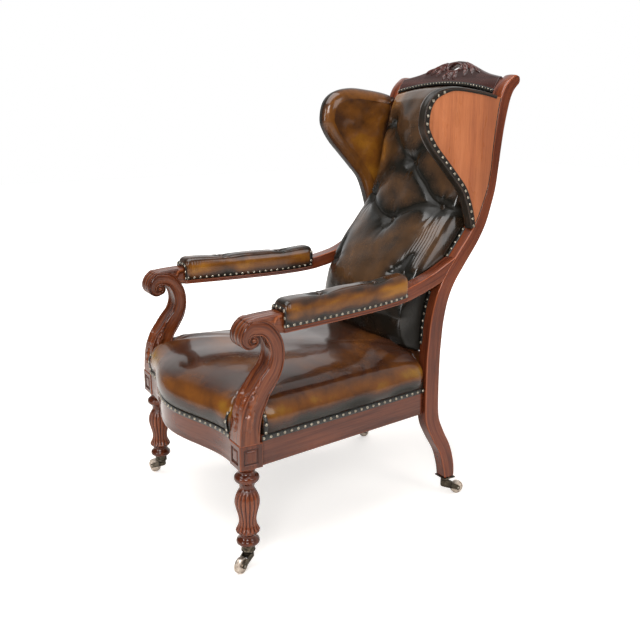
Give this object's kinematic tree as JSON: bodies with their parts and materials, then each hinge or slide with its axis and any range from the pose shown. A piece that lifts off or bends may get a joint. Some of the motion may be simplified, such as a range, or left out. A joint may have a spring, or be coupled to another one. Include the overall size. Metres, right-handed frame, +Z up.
{
  "type": "wingback armchair",
  "caption": "High-backed wingback armchair with carved show-wood frame, turned front legs, scrolled arms, buttoned leather back, sprung leather seat and brass castors",
  "frame": {"origin": "on the floor under the middle of the chair's bounding box, with the castors trailing as in the rest pose", "axes": "+Z up; the chair faces -Y; +X is the sitter's left"},
  "size_m": [0.6569, 0.8896, 1.141],
  "materials": {
    "mahogany_frame": "french polished, red-brown",
    "mahogany_carved": "french polished, dark red-brown",
    "mahogany_board": "polished, lighter orange-red",
    "beech": "bare",
    "leather": "glossy, hand-dyed brown over amber",
    "leather_trim": "dark, semi-gloss",
    "webbing": "woven jute",
    "bottom_cloth": "matt",
    "canvas": "matt",
    "stuffing": "matt",
    "spring_steel": "oiled",
    "brass_nails": "antiqued",
    "brass_castor": "dark patina",
    "brass_tread": "worn bright",
    "steel_pins": "worn"
  },
  "bodies": {
    "frame": {"rear_stile_left": "mahogany_frame", "rear_stile_right": "mahogany_frame", "crest_rail": "mahogany_carved", "back_low_rail": "beech", "seat_rail_front": "mahogany_frame", "seat_rail_left": "mahogany_frame", "seat_rail_right": "mahogany_frame", "seat_rail_back": "mahogany_frame", "corner_blocks": "beech", "front_leg_left": "mahogany_carved", "front_leg_right": "mahogany_carved", "arm_scroll_left": "mahogany_carved", "arm_scroll_right": "mahogany_carved", "arm_rail_left": "mahogany_carved", "arm_rail_right": "mahogany_carved", "frame_dowels": "beech", "wing_board_left": "mahogany_board", "wing_board_right": "mahogany_board", "wing_pad_left": "leather", "wing_pad_right": "leather", "wing_bands": "leather_trim", "wing_nails": "brass_nails", "seat_webbing": "webbing", "bottom_cloth": "bottom_cloth", "seat_springs": "spring_steel", "spring_canvas": "canvas", "seat_stuffing": "stuffing", "seat_cushion": "leather", "seat_band": "leather_trim", "seat_nails": "brass_nails", "back_webbing": "webbing", "back_pad": "leather", "back_buttons": "leather", "outside_back_panel": "leather", "back_bands": "leather_trim", "back_nails": "brass_nails", "arm_pad_left": "leather", "arm_pad_right": "leather", "arm_buttons": "leather", "arm_bands": "leather_trim", "arm_nails": "brass_nails", "castor_cup_front_left": "brass_castor", "castor_cup_front_right": "brass_castor", "castor_plate_rear_left": "brass_castor", "castor_plate_rear_right": "brass_castor", "castor_screws": "steel_pins"},
    "fork_front_left": {"castor_fork_front_left": "brass_castor", "castor_axle_front_left": "steel_pins"},
    "wheel_front_left": {"castor_wheel_front_left": "brass_tread"},
    "fork_front_right": {"castor_fork_front_right": "brass_castor", "castor_axle_front_right": "steel_pins"},
    "wheel_front_right": {"castor_wheel_front_right": "brass_tread"},
    "fork_rear_left": {"castor_fork_rear_left": "brass_castor", "castor_axle_rear_left": "steel_pins"},
    "wheel_rear_left": {"castor_wheel_rear_left": "brass_tread"},
    "fork_rear_right": {"castor_fork_rear_right": "brass_castor", "castor_axle_rear_right": "steel_pins"},
    "wheel_rear_right": {"castor_wheel_rear_right": "brass_tread"}
  },
  "joints": [
    {"name": "front_left_swivel", "type": "hinge", "parent": "frame", "child": "fork_front_left", "pos_m": [0.289, -0.3625, 0.042], "axis": [0, 0, 1], "continuous": true},
    {"name": "front_left_spin", "type": "hinge", "parent": "fork_front_left", "child": "wheel_front_left", "pos_m": [0.3033, -0.3883, 0.019], "axis": [0.8746, 0.4848, 0], "continuous": true},
    {"name": "front_right_swivel", "type": "hinge", "parent": "frame", "child": "fork_front_right", "pos_m": [-0.289, -0.3625, 0.042], "axis": [0, 0, 1], "continuous": true},
    {"name": "front_right_spin", "type": "hinge", "parent": "fork_front_right", "child": "wheel_front_right", "pos_m": [-0.31672, -0.37259, 0.019], "axis": [0.342, -0.9397, 0], "continuous": true},
    {"name": "rear_left_swivel", "type": "hinge", "parent": "frame", "child": "fork_rear_left", "pos_m": [0.223, 0.25747, 0.042], "axis": [0, 0, 1], "continuous": true},
    {"name": "rear_left_spin", "type": "hinge", "parent": "fork_rear_left", "child": "wheel_rear_left", "pos_m": [0.22815, 0.29411, 0.0175], "axis": [-0.9903, 0.1392, 0], "continuous": true},
    {"name": "rear_right_swivel", "type": "hinge", "parent": "frame", "child": "fork_rear_right", "pos_m": [-0.223, 0.25747, 0.042], "axis": [0, 0, 1], "continuous": true},
    {"name": "rear_right_spin", "type": "hinge", "parent": "fork_rear_right", "child": "wheel_rear_right", "pos_m": [-0.23258, 0.29321, 0.0175], "axis": [-0.9659, -0.2588, 0], "continuous": true}
  ]
}
